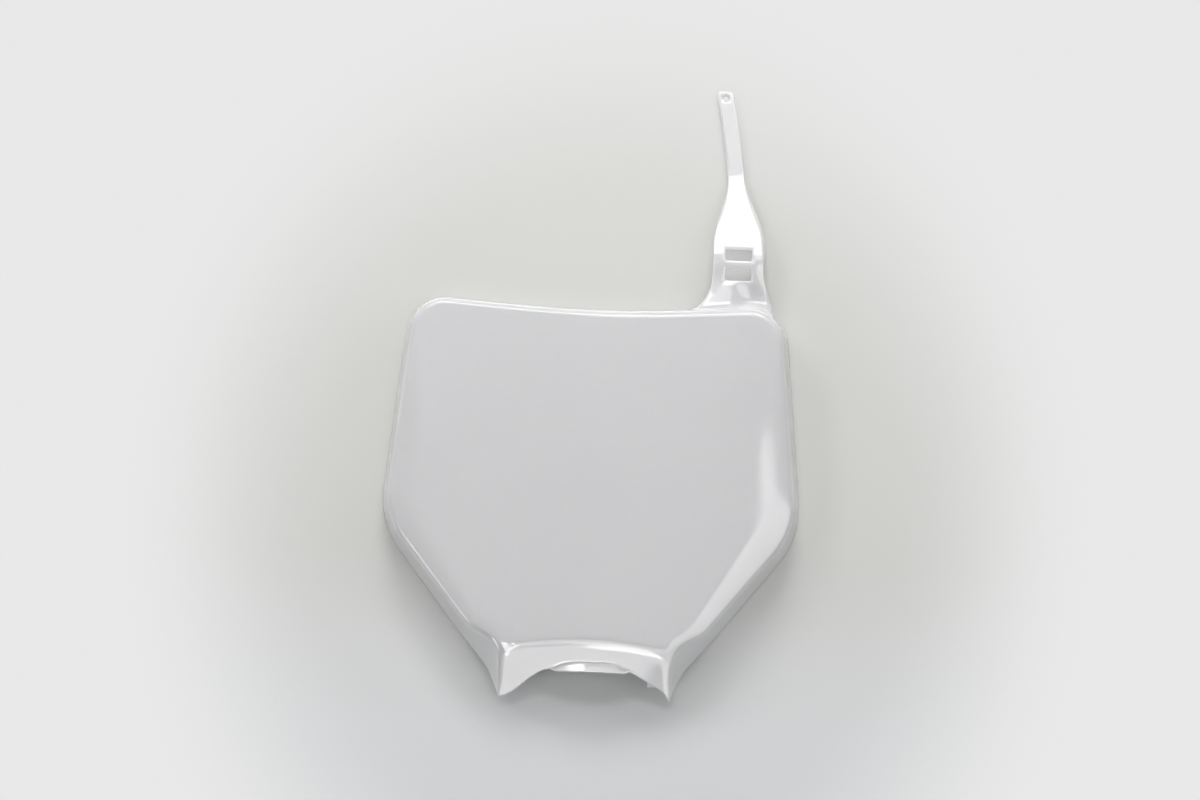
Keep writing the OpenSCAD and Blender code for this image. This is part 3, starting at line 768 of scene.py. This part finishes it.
def paper(name):
    material = bpy.data.materials.new(name)
    material.use_nodes = True
    nodes, links = material.node_tree.nodes, material.node_tree.links
    shader = nodes["Principled BSDF"]
    shader.inputs["Roughness"].default_value = 0.9
    shader.inputs["Specular IOR Level"].default_value = 0.1
    place = nodes.new("ShaderNodeTexCoord")
    shift = nodes.new("ShaderNodeVectorMath")
    shift.operation = "ADD"
    shift.inputs[1].default_value = FADE_SHIFT
    flatten = nodes.new("ShaderNodeVectorMath")
    flatten.operation = "MULTIPLY"
    flatten.inputs[1].default_value = FADE_STRETCH
    length = nodes.new("ShaderNodeVectorMath")
    length.operation = "LENGTH"
    fade = nodes.new("ShaderNodeMapRange")
    fade.interpolation_type = "SMOOTHSTEP"
    fade.inputs["From Min"].default_value = FADE_FROM
    fade.inputs["From Max"].default_value = FADE_TO
    apart = nodes.new("ShaderNodeSeparateXYZ")
    # Painted light: the paper's tint turns lighter and cooler in front of the chin
    lit_paper_ramp = nodes.new("ShaderNodeMapRange")
    lit_paper_ramp.inputs["From Min"].default_value = LIT_PAPER_FROM
    lit_paper_ramp.inputs["From Max"].default_value = LIT_PAPER_TO
    tint = nodes.new("ShaderNodeMix")
    tint.data_type = "RGBA"
    tint.inputs["A"].default_value = WARM_SHADED_PAPER
    tint.inputs["B"].default_value = COOL_LIT_PAPER
    links.new(place.outputs["Object"], apart.inputs[0])
    links.new(apart.outputs["Y"], lit_paper_ramp.inputs["Value"])
    links.new(lit_paper_ramp.outputs["Result"], tint.inputs["Factor"])
    links.new(tint.outputs["Result"], shader.inputs["Base Color"])
    shown = fade.outputs["Result"]
    # Painted pools of light under the strap's openings, mixed in from the backdrop
    for spot, inner, outer, share in PAINTED_LIGHT_SPOTS:
        distance = nodes.new("ShaderNodeVectorMath")
        distance.operation = "DISTANCE"
        distance.inputs[1].default_value = spot
        near = nodes.new("ShaderNodeMapRange")
        near.interpolation_type = "SMOOTHSTEP"
        near.inputs["From Min"].default_value = outer
        near.inputs["From Max"].default_value = inner
        near.inputs["To Max"].default_value = share
        both = nodes.new("ShaderNodeMath")
        both.operation = "ADD"
        links.new(place.outputs["Object"], distance.inputs[0])
        links.new(distance.outputs["Value"], near.inputs["Value"])
        links.new(near.outputs["Result"], both.inputs[0])
        links.new(shown, both.inputs[1])
        shown = both.outputs["Value"]
    path = nodes.new("ShaderNodeLightPath")
    seen = nodes.new("ShaderNodeMath")
    seen.operation = "MULTIPLY"
    backdrop = nodes.new("ShaderNodeEmission")
    backdrop.inputs["Color"].default_value = BACKDROP
    blend = nodes.new("ShaderNodeMixShader")
    links.new(place.outputs["Object"], shift.inputs[0])
    links.new(shift.outputs["Vector"], flatten.inputs[0])
    links.new(flatten.outputs["Vector"], length.inputs[0])
    links.new(length.outputs["Value"], fade.inputs["Value"])
    links.new(shown, seen.inputs[0])
    links.new(path.outputs["Is Camera Ray"], seen.inputs[1])
    links.new(seen.outputs["Value"], blend.inputs["Fac"])
    links.new(shader.outputs["BSDF"], blend.inputs[1])
    links.new(backdrop.outputs["Emission"], blend.inputs[2])
    links.new(blend.outputs["Shader"], nodes["Material Output"].inputs["Surface"])
    return material


bm = bmesh.new()
bmesh.ops.create_grid(bm, x_segments=1, y_segments=1, size=4)
bmesh.ops.translate(bm, verts=bm.verts, vec=(0, 0, -0.0002))
floor = finish_mesh(bm, "floor")
floor.data.materials.append(paper("paper"))
print("paper spots:", len(PAINTED_LIGHT_SPOTS))

# %% [markdown]
# Lamps
# A gloss white thing shows its form by what it mirrors, so most lamps hang where a highlight of the
# photograph asks for one: following the view's ray off the surface to a plane a metre up gives the place. The
# key lamp behind the top is mirrored by the strap and the lip, the right wall by the bevel, the fold strip
# and the horn patch by the chin. Three faint cards lay a glow on the face that ends softly before its right
# edge. Lamps that are only mirrored shape the gloss, and windows that are never mirrored throw soft shadows.

# %%
def lamp(name, place, target, size, power):
    light = bpy.data.lights.new(name, "AREA")
    light.shape = "RECTANGLE"
    light.size, light.size_y = size
    light.energy = power
    obj = bpy.data.objects.new(name, light)
    obj.location = place
    obj.rotation_euler = (Vector(target) - Vector(place)).to_track_quat("-Z", "Y").to_euler()
    bpy.context.scene.collection.objects.link(obj)
    return obj


def card(name, x_range, y_range, radiance, lights=True):
    """A level lamp a metre above the table. One that doesn't light is only mirrored, as a bright wall is."""
    size = (x_range[1] - x_range[0], y_range[1] - y_range[0])
    middle = (sum(x_range) / 2, sum(y_range) / 2)
    obj = lamp(name, (*middle, 1), (*middle, 0), size, radiance * math.pi * size[0] * size[1])
    obj.rotation_euler = (0, 0, 0)
    obj.visible_camera = False
    obj.visible_diffuse = lights
    return obj


def window(name, place, size, radiance, mirrored=True):
    """A lamp further out that looks at the board. One that isn't mirrored only lights and throws shadows."""
    obj = lamp(name, place, (0, 0, 0), size, radiance * math.pi * size[0] * size[1])
    obj.visible_camera = False
    obj.visible_glossy = mirrored
    return obj


LAMPS = [
    card("key", (-0.6, 0.5), (0.57, 0.87), 4.3),
    card("key_low", (-0.02, 0.5), (0.4, 0.57), 1.3),
    card("right_wall", (0.26, 3), (-2.6, 0.18), 1.75, False),
    card("right_core", (0.42, 1.6), (-0.3, 0.04), 1.8),
    card("fold_strip", (-0.13, -0.006), (-1.45, -0.62), 5.6),
    card("horn_patch", (-0.34, -0.14), (-1.45, -0.38), 4.5, False),
    card("chin_wall", (-0.2, 0.26), (-2.4, -0.4), 1.8, False),
    window("far_top", (0, 1.9, 0.95), (0.9, 0.5), 15, False),
    window("far_left_top", (-1.35, 1.35, 0.95), (0.9, 0.5), 8, False),
    window("far_right_top", (1.35, 1.35, 0.95), (0.9, 0.5), 2.2, False),
    window("right_lamp", (1.1, -0.25, 1.3), (0.8, 0.7), 0.6, False),
    window("edge_line", (0, 1.9, 0.95), (1.4, 0.14), 5),
    window("far_left", (-1.65, -0.9, 0.95), (0.9, 0.5), 3.2),
    window("far_right", (1.9, 0, 0.95), (0.9, 0.5), 2.6, False),
    window("fill", (0, -2.4, 1.3), (2.6, 1.2), 1.3),
]
GLOW_END, GLOW_STEP = 0.155, 0.025
for k in range(3):
    LAMPS.append(card(f"face_glow_{k}", (-0.35, GLOW_END + GLOW_STEP * k), (-0.25, 0.34), 0.17, False))
world = bpy.data.worlds.new("room")
world.use_nodes = True
world.node_tree.nodes["Background"].inputs["Color"].default_value = (0.78, 0.79, 0.80, 1)
world.node_tree.nodes["Background"].inputs["Strength"].default_value = 0.1
bpy.context.scene.world = world
print("lamps:", [obj.name for obj in LAMPS])

# %% [markdown]
# Camera
# The camera looks down at the board from the chin's side, 78 degrees above the table, and is rolled by about
# two degrees. Its lens is the one that gives the perspective of the photograph on a 36 mm sensor.

# %%
ELEVATION, ROLL, DISTANCE = 78, 2.2, 1.6
AIM = Vector((0.003, (58 + OFFSET_Y) / 1000, 0.010))
camera = bpy.data.cameras.new("camera")
camera.lens = 82.2
camera.sensor_width = 36
camera.clip_start, camera.clip_end = 0.05, 50
eye = bpy.data.objects.new("camera", camera)
back = Vector((0, -math.cos(math.radians(ELEVATION)), math.sin(math.radians(ELEVATION))))
eye.location = AIM + back * DISTANCE
turn = (-back).to_track_quat("-Z", "Y").to_matrix().to_4x4()
eye.rotation_euler = turn.to_euler()
eye.rotation_euler.rotate_axis("Z", math.radians(ROLL))
bpy.context.scene.collection.objects.link(eye)
bpy.context.scene.camera = eye
bpy.context.scene.view_settings.view_transform = "Standard"
print("camera at", [round(c, 3) for c in eye.location])
